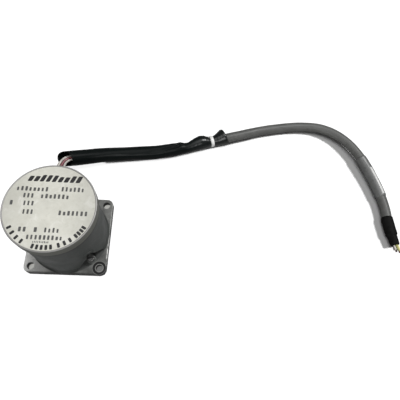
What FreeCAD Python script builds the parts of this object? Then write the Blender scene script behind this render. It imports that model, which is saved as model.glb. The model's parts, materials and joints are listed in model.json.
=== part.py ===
import FreeCAD, Part
import math
import os

# Round-bodied hybrid stepper motor with a lead screw on its rotor shaft and a flying cable.
# Millimetres. The origin is the centre of the mounting face at the front of the square flange.
# +Z runs along the motor axis to the rear cap; the shaft and the lead screw point along -Z.
# The flange bolts to a panel whose surface is the plane z = 0, and the cable lies on that panel.

Vector = FreeCAD.Vector
UP = Vector(0, 0, 1)

# ---- driving dimensions -------------------------------------------------------------------
FLANGE_SIDE = 56.5
FLANGE_THICK = 5.0
FLANGE_CORNER = 4.5
HOLE_PITCH = 47.14
FLANGE_ROUND = 0.4
HOLE_R = 2.6
SPOT_FACE_R = 4.2
SPOT_FACE_DEPTH = 0.4
EJECTOR_MARK = (-18.6, -25.3)
PILOT_R = 19.05
PILOT_HEIGHT = 1.6
REGISTER_HEIGHT = 3.5
REGISTER_BORE_R = 19.4
HUB_R = 10.5
HUB_TOP = 9.2

BODY_R = 27.2
BODY_TOP = 50.0
FOOT_R = 28.0
FOOT_TOP = 9.0
SEAM_HEIGHT = 0.7
SEAM_DEPTH = 0.5
CAP_R = 28.25
CAP_UNDERSIDE = 56.2
CAP_FACE = 57.2
CAP_SKIRT_BOTTOM = 48.4
CAP_SKIRT_BORE_R = 22.9
CAP_RIM_WIDTH = 1.05
LABEL_THICK = 0.5
MOTOR_LENGTH = 58.0
FRONT_BORE_R = 21.4
STATOR_R = 24.5
STACK_BOTTOM = 29.0
STACK_TOP = 47.0

SHAFT_R = 3.175
SHAFT_FRONT = -10.0
SHAFT_REAR = 55.6
SHAFT_HOLE_R = 5.0

POLES = 8
POLE_WIDTH = 6.5
YOKE_BORE_R = 21.5
SHOE_R = 16.2
SHOE_HALF_ANGLE = 17.0
INSULATOR_THICK = 1.2
COIL_THICK = 2.2
STATOR_BORE_R = 14.05
ROTOR_R = 13.9
ROTOR_TEETH = 50
TOOTH_DEPTH = 0.7
ROTOR_BOTTOM = 29.2
ROTOR_TOP = 46.8
MAGNET_R = 12.6
MAGNET_BOTTOM = 37.0
MAGNET_TOP = 39.0
SPACER_R = 4.6

SCREW_R = 4.0
SCREW_PITCH = 2.0
THREAD_TOP = -13.0
THREAD_BOTTOM = -66.0
THREAD_DEPTH = 0.95
JOURNAL_R = 3.0
JOURNAL_BOTTOM = -74.0
SPIGOT_R = 1.9
SPIGOT_TOP = -0.5

BEARING_OUTER_R = 7.9375
BEARING_WIDTH = 4.978
FRONT_BEARING_Z = 3.6
REAR_BEARING_Z = 50.2

LUG_RADIUS = 25.2
LUG_R = 3.0
LUG_TOP = 8.2
BODY_SCREW_R = 1.5
BODY_SCREW_BOTTOM = 1.0
BODY_SCREW_HEAD_R = 2.75
BODY_SCREW_HEAD = 2.2
NOTCH_ANGLES = (-45, 135)
EXIT_ANGLE = 103
EXIT_HEIGHT = 14.0
EXIT_SLOT = (5.4, 3.1)
GROMMET_LIP = (6.2, 3.9)
GROMMET_BORE = (4.2, 2.3)

WIRE_R = 0.8
SLEEVE_R = 5.7
SLEEVE_WALL = 0.6
CABLE_R = 3.75

# ---- routes of the free cords: centrelines, from the motor outwards ------------------------
BUNDLE_ROUTE = [
    (-5.5, 23.9, 14.0), (-7.9, 34.1, 14.2), (-12.6, 44.8, 14.2), (-11.2, 55.5, 13.2),
    (-4.2, 59.8, 11.2), (4.5, 62.3, 8.8), (13.5, 65.1, 6.7), (23.0, 66.2, 6.3),
]
BUNDLE_SPREAD = [0.9, 1.0, 1.2, 0.9, 0.84, 0.84, 0.84, 0.84]
WIRE_PLACES = [(-2.5, 0.75), (-1.5, -0.75), (-0.5, 0.75), (0.5, -0.75), (1.5, 0.75), (2.5, -0.75)]

SLEEVE_ROUTE = [
    (-10.5, 56.8, 13.0), (12.4, 64.9, 6.4), (49.4, 69.6, 5.8), (74.0, 73.6, 5.8),
    (94.0, 80.6, 5.9), (113.2, 86.74, 5.9),
]
CABLE_ROUTE = [
    (24.0, 66.35, 6.2), (49.4, 69.6, 5.8), (74.0, 73.6, 5.8), (94.0, 80.6, 5.9),
    (124.0, 90.2, 5.8), (150.5, 99.3, 3.9), (185.0, 104.2, 4.5), (205.9, 96.8, 6.6),
    (220.9, 80.7, 7.2), (231.5, 56.3, 6.0), (237.8, 34.5, 4.6), (238.1, 17.6, 4.3),
    (240.6, 4.5, 4.3),
]


# ---- small builders -----------------------------------------------------------------------
def cylinder(radius, bottom, top, x=0.0, y=0.0):
    return Part.makeCylinder(radius, top - bottom, Vector(x, y, bottom))


def tube(outer, inner, bottom, top, x=0.0, y=0.0):
    return cylinder(outer, bottom, top, x, y).cut(cylinder(inner, bottom, top, x, y))


def block(x0, x1, y0, y1, z0, z1):
    return Part.makeBox(x1 - x0, y1 - y0, z1 - z0, Vector(x0, y0, z0))


def turned(profile):
    """A solid of revolution about Z from an (r, z) outline."""
    points = [Vector(r, 0, z) for r, z in profile]
    face = Part.Face(Part.makePolygon(points + points[:1]))
    return face.revolve(Vector(0, 0, 0), UP, 360)


def prism(outline, bottom, top):
    """An (x, y) outline pulled up from bottom to top."""
    points = [Vector(x, y, bottom) for x, y in outline]
    face = Part.Face(Part.makePolygon(points + points[:1]))
    return face.extrude(Vector(0, 0, top - bottom))


def turned_by(shape, degrees):
    copy = shape.copy()
    copy.rotate(Vector(0, 0, 0), UP, degrees)
    return copy


def polar(radius, degrees):
    angle = math.radians(degrees)
    return radius * math.cos(angle), radius * math.sin(angle)


def fused(shapes):
    result = shapes[0].multiFuse(list(shapes[1:]))
    return result.removeSplitter()


def single(shape):
    return shape.Solids[0] if len(shape.Solids) == 1 else shape


def export(shapes):
    os.makedirs("parts", exist_ok=True)
    for name, shape in shapes.items():
        shape = single(shape)
        shape.exportStep("parts/" + name + ".step")
        print(f"{name:28s} solids {len(shape.Solids)} valid {shape.isValid()} volume {shape.Volume:10.2f}")


# ---- cord paths: straight runs joined by tangent arcs --------------------------------------
CORNER_SHARE = 0.45


def rounded_path(route, name):
    """Edges of a polyline whose corners are arcs that take a fixed share of the shorter run."""
    points = [Vector(*p) for p in route]
    edges = []
    radii = []
    start = points[0]
    for before, corner, after in zip(points, points[1:], points[2:]):
        run_in = corner - before
        run_out = after - corner
        back = CORNER_SHARE * min(run_in.Length, run_out.Length)
        run_in.normalize()
        run_out.normalize()
        turn = math.acos(max(-1.0, min(1.0, run_in.dot(run_out))))
        radius = back / math.tan(turn / 2)
        radii.append(radius)
        entry = corner - run_in * back
        leave = corner + run_out * back
        inward = run_out - run_in
        inward.normalize()
        middle = corner + inward * (radius / math.cos(turn / 2) - radius)
        edges.append(Part.LineSegment(start, entry).toShape())
        edges.append(Part.Arc(entry, middle, leave).toShape())
        start = leave
    edges.append(Part.LineSegment(start, points[-1]).toShape())
    print(f"{name}: length {path_length(edges):.1f} radii", " ".join(f"{r:.0f}" for r in radii))
    return edges


def stretch(edges, begin, end):
    """The part of a path between two distances along it."""
    kept = []
    passed = 0.0
    for edge in edges:
        low = max(begin - passed, 0.0)
        high = min(end - passed, edge.Length)
        if high - low > 1e-6:
            first = edge.getParameterByLength(low)
            last = edge.getParameterByLength(high)
            kept.append(edge.Curve.toShape(first, last))
        passed += edge.Length
    return kept


def place_on(edges, distance):
    """Point and direction at a distance along a path."""
    passed = 0.0
    for edge in edges:
        if distance <= passed + edge.Length + 1e-9:
            parameter = edge.getParameterByLength(min(distance - passed, edge.Length))
            direction = edge.tangentAt(parameter)
            return edge.valueAt(parameter), direction
        passed += edge.Length
    raise ValueError("distance beyond the path")


def path_length(edges):
    return sum(edge.Length for edge in edges)


def swept(edges, radius):
    """A round bar along a path, checked against section times length."""
    origin, direction = place_on(edges, 0.0)
    circle = Part.Wire(Part.makeCircle(radius, origin, direction))
    bar = Part.Wire(edges).makePipeShell([circle], True, False)
    ideal = math.pi * radius ** 2 * path_length(edges)
    if abs(bar.Volume / ideal - 1) > 0.01:
        raise ValueError(f"sweep volume {bar.Volume:.1f} is not {ideal:.1f}")
    return bar


def swept_tube(edges, outer, inner):
    return swept(edges, outer).cut(swept(edges, inner))


def on_axis(shape, edges, distance):
    """Move a shape made about +Z from z = 0 to a place on a path, pointing along it."""
    origin, direction = place_on(edges, distance)
    turn = FreeCAD.Rotation(UP, direction)
    placed = shape.copy()
    placed.Placement = FreeCAD.Placement(origin, turn).multiply(placed.Placement)
    return placed


def side_step(route, index):
    """Unit vector to the left of the route at a point, stretched at a corner to keep the width."""
    point = [Vector(*p) for p in route]
    before = point[index] - point[max(index - 1, 0)]
    after = point[min(index + 1, len(point) - 1)] - point[index]
    before = before if before.Length > 0 else after
    after = after if after.Length > 0 else before
    left_in = Vector(-before.y, before.x, 0)
    left_out = Vector(-after.y, after.x, 0)
    left_in.normalize()
    left_out.normalize()
    left = left_in + left_out
    left.normalize()
    return left * (1 / left.dot(left_in))


def wire_route(place):
    """The bundle's route moved sideways and up to one wire's place in it."""
    side, rise = place
    route = []
    for index, centre in enumerate(BUNDLE_ROUTE):
        shift = side_step(BUNDLE_ROUTE, index) * (side * BUNDLE_SPREAD[index])
        point = Vector(*centre) + shift + UP * rise
        route.append((point.x, point.y, point.z))
    return route


# ---- front flange and body ----------------------------------------------------------------
def hole_places():
    half = HOLE_PITCH / 2
    return [(x * half, y * half) for x in (1, -1) for y in (1, -1)]


def front_flange():
    half = FLANGE_SIDE / 2
    plate = block(-half, half, -half, half, 0, FLANGE_THICK)
    corners = [e for e in plate.Edges if abs(e.tangentAt(e.FirstParameter).z) > 0.9]
    plate = plate.makeFillet(FLANGE_CORNER, corners)
    rim = [e for e in plate.Edges if abs(e.CenterOfMass.z - FLANGE_THICK) < 1e-3]
    plate = plate.makeFillet(FLANGE_ROUND, rim)
    register = tube(FRONT_BORE_R - 0.05, REGISTER_BORE_R, FLANGE_THICK, FLANGE_THICK + REGISTER_HEIGHT)
    hub = cylinder(HUB_R, FLANGE_THICK, HUB_TOP)
    casting = fused([plate, cylinder(PILOT_R, -PILOT_HEIGHT, 0), register, hub])
    cuts = [cylinder(SHAFT_HOLE_R, -PILOT_HEIGHT, FRONT_BEARING_Z)]
    cuts.append(cylinder(BEARING_OUTER_R, FRONT_BEARING_Z, HUB_TOP))
    cuts += [cylinder(HOLE_R, 0, FLANGE_THICK, x, y) for x, y in hole_places()]
    for angle in NOTCH_ANGLES:
        x, y = polar(LUG_RADIUS, angle)
        cuts.append(cylinder(BODY_SCREW_R, BODY_SCREW_BOTTOM - 0.2, FLANGE_THICK, x, y))
    spot_x, spot_y = HOLE_PITCH / 2, -HOLE_PITCH / 2
    cuts.append(cylinder(SPOT_FACE_R, FLANGE_THICK - SPOT_FACE_DEPTH, FLANGE_THICK, spot_x, spot_y))
    cuts.append(tube(1.4, 1.1, FLANGE_THICK - 0.15, FLANGE_THICK, *EJECTOR_MARK))
    return casting.cut(Part.makeCompound(cuts))


def notch():
    """Arched recess in the body wall over one screw lug, made at angle 0."""
    back_wall = 22.6
    depth = 8
    foot = 12.2
    throat = 3.6
    throat_x = 25.9
    flare_top = 19.0
    throat_top = 24.5
    outline = [(-foot, FLANGE_THICK), (foot, FLANGE_THICK), (throat, flare_top), (-throat, flare_top)]
    points = [Vector(back_wall, y, z) for y, z in outline]
    flare = Part.Face(Part.makePolygon(points + points[:1])).extrude(Vector(depth, 0, 0))
    shaft = cylinder(throat, FLANGE_THICK, throat_top, throat_x)
    crown = Part.makeSphere(throat, Vector(throat_x, 0, throat_top))
    recess = fused([flare, shaft, crown])
    lug = cylinder(LUG_R, FLANGE_THICK, LUG_TOP, LUG_RADIUS)
    return recess.cut(lug)


def exit_slot(half_size, near, far):
    """Rounded slot through the wall at the wire exit, from radius near to radius far."""
    half_width, half_height = half_size
    straight = half_width - half_height
    core = block(near, far, -straight, straight, -half_height, half_height)
    ends = [
        Part.makeCylinder(half_height, far - near, Vector(near, y, 0), Vector(1, 0, 0))
        for y in (-straight, straight)
    ]
    slot = fused([core] + ends)
    slot.translate(Vector(0, 0, EXIT_HEIGHT))
    return turned_by(slot, EXIT_ANGLE)


def housing():
    """Cast shell: flared a little at its foot, necked in at the seam under the cap."""
    seam = BODY_TOP - SEAM_HEIGHT
    shell = turned([
        (FRONT_BORE_R, FLANGE_THICK), (FOOT_R, FLANGE_THICK), (BODY_R, FOOT_TOP), (BODY_R, seam),
        (BODY_R - SEAM_DEPTH, seam), (BODY_R - SEAM_DEPTH, BODY_TOP), (STATOR_R, BODY_TOP),
        (STATOR_R, STACK_BOTTOM), (FRONT_BORE_R, STACK_BOTTOM),
    ])
    for angle in NOTCH_ANGLES:
        x, y = polar(LUG_RADIUS, angle)
        shell = shell.cut(turned_by(notch(), angle))
        shell = shell.cut(cylinder(BODY_SCREW_R, FLANGE_THICK, LUG_TOP, x, y))
    return shell.cut(exit_slot(EXIT_SLOT, FRONT_BORE_R - 1.4, BODY_R + 1.8))


def housing_screws():
    """Slotted cheese-head screws that hold the body to the flange."""
    screws = []
    top = LUG_TOP + BODY_SCREW_HEAD
    for angle in NOTCH_ANGLES:
        x, y = polar(LUG_RADIUS, angle)
        head = cylinder(BODY_SCREW_HEAD_R, LUG_TOP, top, x, y)
        head = head.makeFillet(0.5, [e for e in head.Edges if e.CenterOfMass.z > top - 0.1])
        shank = cylinder(BODY_SCREW_R, BODY_SCREW_BOTTOM, LUG_TOP, x, y)
        slot = block(x - 3, x + 3, y - 0.35, y + 0.35, top - 1.0, top + 0.1)
        screws.append(fused([head, shank]).cut(slot))
    return Part.makeCompound(screws)


def grommet():
    """Rubber grommet in the wire exit: a barrel in the slot and a lip outside the wall."""
    inside = FRONT_BORE_R - 1.4
    lip = exit_slot(GROMMET_LIP, STATOR_R, BODY_R + 1.5).cut(cylinder(BODY_R, 0, BODY_TOP))
    wall = tube(BODY_R + 0.01, FRONT_BORE_R, FOOT_TOP, 2 * EXIT_HEIGHT - FOOT_TOP)
    barrel = exit_slot(EXIT_SLOT, inside, BODY_R + 1.8).common(wall)
    return fused([lip, barrel]).cut(exit_slot(GROMMET_BORE, inside - 1, BODY_R + 3))


def rear_cap():
    """Turned cap: bearing seat and skirt inside, rounded rim and label recess outside."""
    seat_bottom = REAR_BEARING_Z - 0.6
    ceiling = CAP_UNDERSIDE - 0.8
    inner_rim = CAP_R - CAP_RIM_WIDTH
    return turned([
        (0, CAP_UNDERSIDE), (BEARING_OUTER_R, CAP_UNDERSIDE), (BEARING_OUTER_R, seat_bottom),
        (HUB_R, seat_bottom), (HUB_R, ceiling), (CAP_SKIRT_BORE_R, ceiling),
        (CAP_SKIRT_BORE_R, CAP_SKIRT_BOTTOM), (STATOR_R, CAP_SKIRT_BOTTOM), (STATOR_R, BODY_TOP),
        (CAP_R - 0.15, BODY_TOP), (CAP_R, BODY_TOP + 0.4), (CAP_R, MOTOR_LENGTH - 0.6),
        (CAP_R - 0.25, MOTOR_LENGTH - 0.12), (CAP_R - 0.6, MOTOR_LENGTH),
        (inner_rim, MOTOR_LENGTH - 0.15), (inner_rim, CAP_FACE), (0, CAP_FACE),
    ])


def label_plate():
    return cylinder(CAP_R - CAP_RIM_WIDTH - 0.05, CAP_FACE, CAP_FACE + LABEL_THICK)


# ---- stator -------------------------------------------------------------------------------
def pole_angles():
    return [22.5 + 360 / POLES * index for index in range(POLES)]


def stator_core():
    """Laminated stack: a yoke ring with wound poles, each ending in a toothed shoe."""
    half = POLE_WIDTH / 2
    yoke = tube(STATOR_R, YOKE_BORE_R, STACK_BOTTOM, STACK_TOP)
    shoe_ring = tube(SHOE_R, STATOR_BORE_R, STACK_BOTTOM, STACK_TOP)
    span_x, span_y = polar(YOKE_BORE_R, SHOE_HALF_ANGLE)
    wedge = prism([(0, 0), (span_x, -span_y), (span_x, span_y)], STACK_BOTTOM, STACK_TOP)
    shoe = shoe_ring.common(wedge)
    arm = block(SHOE_R - 0.4, YOKE_BORE_R + 0.3, -half, half, STACK_BOTTOM, STACK_TOP)
    pole = fused([shoe, arm])
    pitch = 360 / ROTOR_TEETH
    for step in (-1.5, -0.5, 0.5, 1.5):
        gap = block(ROTOR_R - 0.4, STATOR_BORE_R + TOOTH_DEPTH, -0.5, 0.5, STACK_BOTTOM, STACK_TOP)
        pole = pole.cut(turned_by(gap, step * pitch))
    return fused([yoke] + [turned_by(pole, angle) for angle in pole_angles()])


def insulator(bottom, top):
    """End insulator: a ring under the yoke with one arm along each pole."""
    half = POLE_WIDTH / 2 + 0.6
    ring_bore_r = YOKE_BORE_R - 1.1
    arm = block(SHOE_R - 1.2, ring_bore_r + 0.4, -half, half, bottom, top)
    ring = tube(FRONT_BORE_R - 0.1, ring_bore_r, bottom, top)
    return fused([ring] + [turned_by(arm, angle) for angle in pole_angles()])


def coil(angle):
    """Winding round one pole and its insulators, clear of the shoe and of the yoke."""
    near = SHOE_R + 0.4
    far = YOKE_BORE_R - 2.1
    opening = POLE_WIDTH / 2 + 0.6
    side = opening + COIL_THICK
    low, high = STACK_BOTTOM - INSULATOR_THICK, STACK_TOP + INSULATOR_THICK
    outer = block(near, far, -side, side, low - COIL_THICK, high + COIL_THICK)
    radial = [e for e in outer.Edges if abs(e.tangentAt(e.FirstParameter).x) > 0.9]
    outer = outer.makeFillet(1.6, radial)
    hole = block(near - 1, far + 1, -opening, opening, low, high)
    return turned_by(outer.cut(hole), angle)


# ---- rotor --------------------------------------------------------------------------------
def rotor_cup(bottom, top, phase):
    pitch = 360 / ROTOR_TEETH
    outline = []
    for tooth in range(ROTOR_TEETH):
        middle = tooth * pitch + phase
        for radius, offset in (
            (ROTOR_R - TOOTH_DEPTH, -2.0), (ROTOR_R, -1.7), (ROTOR_R, 1.7), (ROTOR_R - TOOTH_DEPTH, 2.0)
        ):
            outline.append(polar(radius, middle + offset))
    return prism(outline, bottom, top).cut(cylinder(SHAFT_R, bottom, top))


def shaft():
    bar = cylinder(SHAFT_R, SHAFT_FRONT, SHAFT_REAR)
    bar = bar.makeChamfer(0.4, [e for e in bar.Edges if abs(e.CenterOfMass.z - SHAFT_REAR) < 1e-3])
    return bar.cut(cylinder(SPIGOT_R, SHAFT_FRONT, 0))


def lead_screw():
    """Trapezoidal screw with a spigot pressed into the shaft and a plain journal at its end."""
    bar = turned([
        (0, SPIGOT_TOP), (SPIGOT_R, SPIGOT_TOP), (SPIGOT_R, SHAFT_FRONT), (SCREW_R - 0.4, SHAFT_FRONT),
        (SCREW_R, SHAFT_FRONT - 0.4), (SCREW_R, THREAD_BOTTOM + 0.6),
        (JOURNAL_R, THREAD_BOTTOM), (JOURNAL_R, JOURNAL_BOTTOM + 0.5),
        (JOURNAL_R - 0.5, JOURNAL_BOTTOM), (0, JOURNAL_BOTTOM),
    ])
    turns_from = THREAD_BOTTOM - SCREW_PITCH
    helix = Part.makeHelix(SCREW_PITCH, THREAD_TOP - turns_from, SCREW_R)
    helix.translate(Vector(0, 0, turns_from))
    root_half, crest_half = 0.3, 0.62
    outline = [
        (SCREW_R - THREAD_DEPTH, -root_half), (SCREW_R + 0.05, -crest_half),
        (SCREW_R + 0.05, crest_half), (SCREW_R - THREAD_DEPTH, root_half),
    ]
    points = [Vector(r, 0, turns_from + z) for r, z in outline]
    section = Part.makePolygon(points + points[:1])
    groove = Part.Wire(helix).makePipeShell([section], True, True)
    return bar.cut(groove)


# ---- ball bearings ------------------------------------------------------------------------
BALL_R = 1.19
BALL_CIRCLE_R = 5.575
BALLS = 8
OUTER_RACE_BORE_R = 6.4
INNER_RACE_R = 4.75
SHIELD_THICK = 0.25


def raceway(bottom):
    ring = Part.makeTorus(BALL_CIRCLE_R, BALL_R + 0.02)
    ring.translate(Vector(0, 0, bottom + BEARING_WIDTH / 2))
    return ring


def outer_race(bottom):
    return tube(BEARING_OUTER_R, OUTER_RACE_BORE_R, bottom, bottom + BEARING_WIDTH).cut(raceway(bottom))


def inner_race(bottom):
    return tube(INNER_RACE_R, SHAFT_R, bottom, bottom + BEARING_WIDTH).cut(raceway(bottom))


def ball_set(bottom):
    centre = bottom + BEARING_WIDTH / 2
    places = [polar(BALL_CIRCLE_R, 360 / BALLS * index) for index in range(BALLS)]
    return Part.makeCompound([Part.makeSphere(BALL_R, Vector(x, y, centre)) for x, y in places])


def ball_cage(bottom):
    middle = bottom + BEARING_WIDTH / 2
    half_height, half_wall = 1.6, 0.475
    outer, inner = BALL_CIRCLE_R + half_wall, BALL_CIRCLE_R - half_wall
    cage = tube(outer, inner, middle - half_height, middle + half_height)
    pocket = Part.makeCylinder(BALL_R + 0.06, 3, Vector(inner - 1, 0, middle), Vector(1, 0, 0))
    for index in range(BALLS):
        cage = cage.cut(turned_by(pocket, 360 / BALLS * index))
    return cage


def shields(bottom):
    bore = INNER_RACE_R + 0.15
    starts = (bottom, bottom + BEARING_WIDTH - SHIELD_THICK)
    return Part.makeCompound([tube(OUTER_RACE_BORE_R, bore, z, z + SHIELD_THICK) for z in starts])


def preload_washer():
    """Conical spring washer between the rear bearing and the cap."""
    seat = REAR_BEARING_Z + BEARING_WIDTH
    outer, inner, thick = 7.7, 5.2, 0.3
    return turned([
        (outer, seat), (outer, seat + thick), (inner, CAP_UNDERSIDE), (inner, CAP_UNDERSIDE - thick),
    ])


# ---- sleeve, cable and what is on them -----------------------------------------------------
NECK_FROM_END = 18.0
TIE_FROM_END = 12.6
TIE_WIDTH = 2.6
TIE_THICK = 0.7
NECK_R = CABLE_R + SLEEVE_WALL + 0.05


def sleeve(edges):
    """PVC sleeve: a plain tube, necked in under the tie, flared again at its end.

    The collar with the neck is rooted a little way inside the tube's wall.
    """
    total = path_length(edges)
    inner = SLEEVE_R - SLEEVE_WALL
    body = swept_tube(stretch(edges, 0, total - NECK_FROM_END), SLEEVE_R, inner)
    low = TIE_FROM_END - NECK_FROM_END
    tie = TIE_WIDTH / 2
    step = 0.1
    root = low - 5 * step
    collar = turned([
        (inner + step, root), (SLEEVE_R - step, root), (SLEEVE_R - step, low), (NECK_R, -tie),
        (NECK_R, tie), (SLEEVE_R, TIE_FROM_END), (inner, TIE_FROM_END), (CABLE_R + 0.05, tie),
        (CABLE_R + 0.05, -tie), (inner + step, low),
    ])
    return fused([body, on_axis(collar, edges, total - TIE_FROM_END)])


def cable_tie(edges):
    """Nylon tie drawn round the sleeve's neck, with its ratchet head on the far side."""
    half = TIE_WIDTH / 2 - 0.1
    seat = NECK_R + TIE_THICK - 0.1
    band = tube(NECK_R + TIE_THICK, NECK_R, -half, half)
    head = block(-2.0, 2.0, seat, seat + 2.4, -half, half)
    tail = block(-0.4, 0.4, seat + 2.3, seat + 3.6, -half + 0.3, half - 0.3)
    piece = fused([band, head, tail])
    return on_axis(piece, edges, path_length(edges) - TIE_FROM_END)


MARKER_FROM_END = 72.8
MARKER_LENGTH = 36.3
STRIP_FROM_END = 64.7
STRIP_LENGTH = 23.5


def marker_wrap(edges):
    begin = path_length(edges) - MARKER_FROM_END
    span = stretch(edges, begin, begin + MARKER_LENGTH)
    return swept_tube(span, CABLE_R + 0.55, CABLE_R + 0.3)


def marker_strip(edges):
    """White paper strip under the clear wrap, on the outer side of the bend."""
    begin = path_length(edges) - STRIP_FROM_END
    span = stretch(edges, begin, begin + STRIP_LENGTH)
    band = swept_tube(span, CABLE_R + 0.25, CABLE_R + 0.05)
    origin, direction = place_on(span, STRIP_LENGTH / 2)
    outward = UP.cross(direction)
    outward.normalize()
    outward += UP * 0.9
    outward.normalize()
    cutter = Part.makeBox(40, 2.4, 8, Vector(-20, -1.2, 0))
    basis = FreeCAD.Rotation(direction, outward.cross(direction), outward, "XZY")
    cutter.Placement = FreeCAD.Placement(origin, basis).multiply(cutter.Placement)
    return band.common(cutter)


CABLE_IN_BOOT = 19.0
BOOT_WAIST = 4.0
BOOT_WALL = 0.4


def end_boot(edges):
    """Heat-shrink boot over the cut end of the cable, drawn in at its tip."""
    total = path_length(edges)
    inner = CABLE_R + 0.05
    outer = inner + BOOT_WALL
    span = stretch(edges, total - CABLE_IN_BOOT, total - BOOT_WAIST)
    grip = swept_tube(span, outer, inner)
    tip = turned([
        (inner, 0), (outer, 0), (inner + 0.15, 1.0), (inner + 0.25, BOOT_WAIST),
        (3.1, BOOT_WAIST + 3.0), (2.5, BOOT_WAIST + 3.0), (2.8, BOOT_WAIST + 0.4),
        (inner, BOOT_WAIST + 0.1),
    ])
    return fused([grip, on_axis(tip, edges, total - BOOT_WAIST)])


CONDUCTOR_R = 0.65
CONDUCTOR_TIPS = [
    ("white", -1.5, 0.45, 6.8), ("olive", -0.45, 1.35, 7.4), ("yellow", 0.95, 1.1, 8.2),
    ("red", 1.5, -0.2, 9.0), ("brown", 0.5, -1.4, 7.6), ("grey", -0.95, -1.0, 6.2),
]


def conductors(edges):
    """Cut ends of the cable's cores, spreading a little past the boot."""
    spread = 1.25
    start = path_length(edges)
    shapes = {}
    for colour, side, rise, reach in CONDUCTOR_TIPS:
        near = Vector(side, rise, 0.05)
        far = Vector(side * spread, rise * spread, reach)
        core = Part.makeCylinder(CONDUCTOR_R, reach, near, far - near)
        shapes["core_end_" + colour] = on_axis(core, edges, start)
    return shapes


# ---- the whole motor ----------------------------------------------------------------------
def build():
    shapes = {
        "front_flange": front_flange(),
        "housing": housing(),
        "housing_screws": housing_screws(),
        "grommet": grommet(),
        "rear_cap": rear_cap(),
        "label_plate": label_plate(),
        "stator_core": stator_core(),
        "insulator_front": insulator(STACK_BOTTOM - INSULATOR_THICK, STACK_BOTTOM),
        "insulator_rear": insulator(STACK_TOP, STACK_TOP + INSULATOR_THICK),
        "preload_washer": preload_washer(),
        "shaft": shaft(),
        "lead_screw": lead_screw(),
        "rotor_cup_front": rotor_cup(ROTOR_BOTTOM, MAGNET_BOTTOM, 0.0),
        "rotor_cup_rear": rotor_cup(MAGNET_TOP, ROTOR_TOP, 180 / ROTOR_TEETH),
        "rotor_magnet": tube(MAGNET_R, SHAFT_R, MAGNET_BOTTOM, MAGNET_TOP),
        "spacer_front": tube(SPACER_R, SHAFT_R, FRONT_BEARING_Z + BEARING_WIDTH, ROTOR_BOTTOM),
        "spacer_rear": tube(SPACER_R, SHAFT_R, ROTOR_TOP, REAR_BEARING_Z),
    }
    for index, angle in enumerate(pole_angles()):
        shapes[f"coil_{index + 1}"] = coil(angle)
    for end, bottom in (("front", FRONT_BEARING_Z), ("rear", REAR_BEARING_Z)):
        shapes[end + "_bearing_outer_race"] = outer_race(bottom)
        shapes[end + "_bearing_inner_race"] = inner_race(bottom)
        shapes[end + "_bearing_balls"] = ball_set(bottom)
        shapes[end + "_bearing_cage"] = ball_cage(bottom)
        shapes[end + "_bearing_shields"] = shields(bottom)
    for index, place in enumerate(WIRE_PLACES):
        name = f"lead_wire_{index + 1}"
        shapes[name] = swept(rounded_path(wire_route(place), name), WIRE_R)
    sleeve_path = rounded_path(SLEEVE_ROUTE, "sleeve")
    cable_path = rounded_path(CABLE_ROUTE, "cable")
    shapes["sleeve"] = sleeve(sleeve_path)
    shapes["cable_tie"] = cable_tie(sleeve_path)
    shapes["cable"] = swept(cable_path, CABLE_R)
    shapes["marker_wrap"] = marker_wrap(cable_path)
    shapes["marker_strip"] = marker_strip(cable_path)
    shapes["end_boot"] = end_boot(cable_path)
    shapes.update(conductors(cable_path))
    return shapes


export(build())
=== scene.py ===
import json
import math
import random

import bmesh
import bpy
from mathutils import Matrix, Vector, noise


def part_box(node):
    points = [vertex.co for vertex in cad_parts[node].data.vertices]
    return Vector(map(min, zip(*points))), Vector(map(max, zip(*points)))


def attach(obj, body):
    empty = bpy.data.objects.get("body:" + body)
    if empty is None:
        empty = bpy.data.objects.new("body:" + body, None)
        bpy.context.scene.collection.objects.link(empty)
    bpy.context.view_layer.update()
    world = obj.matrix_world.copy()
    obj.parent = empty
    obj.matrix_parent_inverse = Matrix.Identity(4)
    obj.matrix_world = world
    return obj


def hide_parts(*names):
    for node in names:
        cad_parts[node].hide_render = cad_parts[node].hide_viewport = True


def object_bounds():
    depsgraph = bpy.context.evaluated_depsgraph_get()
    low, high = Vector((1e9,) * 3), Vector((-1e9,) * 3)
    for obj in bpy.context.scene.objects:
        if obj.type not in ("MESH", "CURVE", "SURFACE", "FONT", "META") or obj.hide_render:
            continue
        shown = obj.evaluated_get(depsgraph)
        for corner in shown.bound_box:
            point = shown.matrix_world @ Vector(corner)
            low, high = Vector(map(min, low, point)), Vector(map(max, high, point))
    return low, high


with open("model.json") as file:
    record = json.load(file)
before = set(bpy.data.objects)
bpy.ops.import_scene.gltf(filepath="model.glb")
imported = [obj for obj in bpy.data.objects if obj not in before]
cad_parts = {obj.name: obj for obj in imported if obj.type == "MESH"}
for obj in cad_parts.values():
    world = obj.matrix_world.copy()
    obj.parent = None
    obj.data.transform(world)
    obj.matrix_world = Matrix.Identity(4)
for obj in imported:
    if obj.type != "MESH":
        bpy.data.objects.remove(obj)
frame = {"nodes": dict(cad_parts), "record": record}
cad_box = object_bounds()

MM = 0.001
UP = Vector((0, 0, 1))


def mm(*lengths):
    """Millimetres as metres, one value or a vector."""
    if len(lengths) == 1:
        return lengths[0] * MM
    return Vector(lengths) * MM


# ---- camera, lights and floor ---------------------------------------------------------------
CAMERA_PLACE = mm(77.56, -88.35, 284.74)
CAMERA_TURN = (23.07, -3.67, 1.16)
LENS = 36
SENSOR = 36
PILOT_HOLE_R = 19.2
FLOOR_REACH = 2.5
FLOOR_SIDES = 64
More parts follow.
